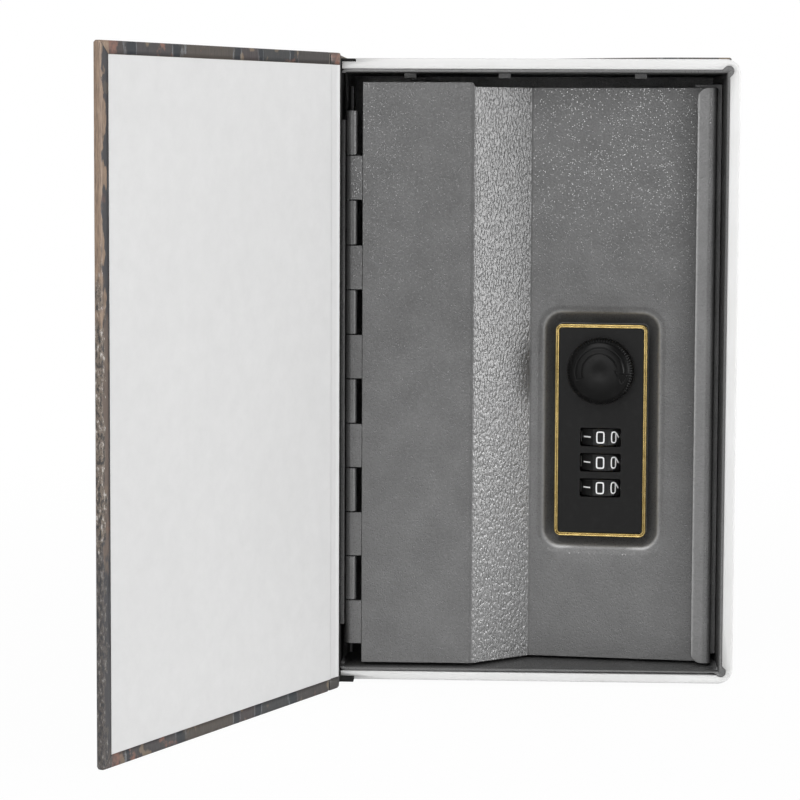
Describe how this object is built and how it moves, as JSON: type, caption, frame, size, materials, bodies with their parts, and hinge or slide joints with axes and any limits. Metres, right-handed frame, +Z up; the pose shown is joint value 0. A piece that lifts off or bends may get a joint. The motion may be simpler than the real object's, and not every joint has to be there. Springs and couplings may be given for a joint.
{
  "type": "book diversion safe",
  "caption": "Small steel safe with a combination lock, hidden in the hollow page block of a hardback book that stands with its cover open.",
  "frame": {"origin": "centre of the footprint at the base, with the front cover open as in the picture", "axes": "+X from the spine towards the fore edge, +Y from the door towards the back cover, +Z up along the book's height"},
  "size_m": [0.1674, 0.1566, 0.18],
  "materials": {
    "grey_paint": "grey hammertone paint, half gloss",
    "bare_steel": "zinc plated",
    "black_plastic": "fine texture",
    "gold_trim": "bright gold plating",
    "page_plastic": "satin, ribbed like page edges",
    "cover_print": "printed cover paper, matt laminate",
    "white_paper": "plain endpaper, matt",
    "grey_board": "raw grey board",
    "black_cloth": "black book cloth",
    "brass": "machined"
  },
  "bodies": {
    "safe": {"page_block": "page_plastic", "safe_box": "grey_paint", "door_stop": "grey_paint", "strike_bracket": "grey_paint", "hinge_leaf": "grey_paint", "hinge_pin": "bare_steel", "spine_lining": "black_cloth", "spine_board": "grey_board", "spine_wrap": "cover_print", "back_joint_strip": "cover_print", "back_board": "grey_board", "back_wrap": "cover_print", "back_endpaper": "white_paper", "front_joint_strip": "black_cloth"},
    "front_cover": {"front_board": "grey_board", "front_wrap": "cover_print", "front_endpaper": "white_paper"},
    "door": {"door_panel": "grey_paint", "lock_bezel": "gold_trim", "lock_faceplate": "black_plastic", "lock_housing": "black_plastic", "wheel_axle": "bare_steel", "detent_spring": "bare_steel", "fence_bar": "bare_steel", "lock_screw_1": "bare_steel", "lock_screw_2": "bare_steel", "lock_screw_3": "bare_steel", "lock_screw_4": "bare_steel"},
    "knob": {"lock_knob": "black_plastic", "lock_spindle": "brass", "lock_cam": "bare_steel", "cam_nut": "bare_steel"},
    "top_wheel": {"number_wheel_1": "black_plastic", "coding_sleeve_1": "brass"},
    "middle_wheel": {"number_wheel_2": "black_plastic", "coding_sleeve_2": "brass"},
    "bottom_wheel": {"number_wheel_3": "black_plastic", "coding_sleeve_3": "brass"},
    "reset": {"reset_lever": "brass"}
  },
  "joints": [
    {"name": "cover_hinge", "type": "hinge", "parent": "safe", "child": "front_cover", "pos_m": [-0.03035, 0.02354, 0.09], "axis": [0, 0, -1], "range_deg": [-117.8, 60], "deforming": ["front_joint_strip"]},
    {"name": "door_hinge", "type": "hinge", "parent": "safe", "child": "door", "pos_m": [-0.02725, 0.03044, 0.0876], "axis": [0, 0, -1], "range_deg": [0, 90]},
    {"name": "knob_turn", "type": "hinge", "parent": "door", "child": "knob", "pos_m": [0.04443, 0.03929, 0.08979], "axis": [0.1132, 0.9936, 0], "range_deg": [-90, 0]},
    {"name": "top_wheel_turn", "type": "hinge", "parent": "door", "child": "top_wheel", "pos_m": [0.04496, 0.04396, 0.07039], "axis": [0, 0, 1], "continuous": true},
    {"name": "middle_wheel_turn", "type": "hinge", "parent": "door", "child": "middle_wheel", "pos_m": [0.04496, 0.04396, 0.06304], "axis": [0, 0, 1], "continuous": true},
    {"name": "bottom_wheel_turn", "type": "hinge", "parent": "door", "child": "bottom_wheel", "pos_m": [0.04496, 0.04396, 0.05569], "axis": [0, 0, 1], "continuous": true},
    {"name": "reset_lever_turn", "type": "hinge", "parent": "door", "child": "reset", "pos_m": [0.04443, 0.03929, 0.05029], "axis": [0.1132, 0.9936, 0], "range_deg": [0, 60]}
  ]
}
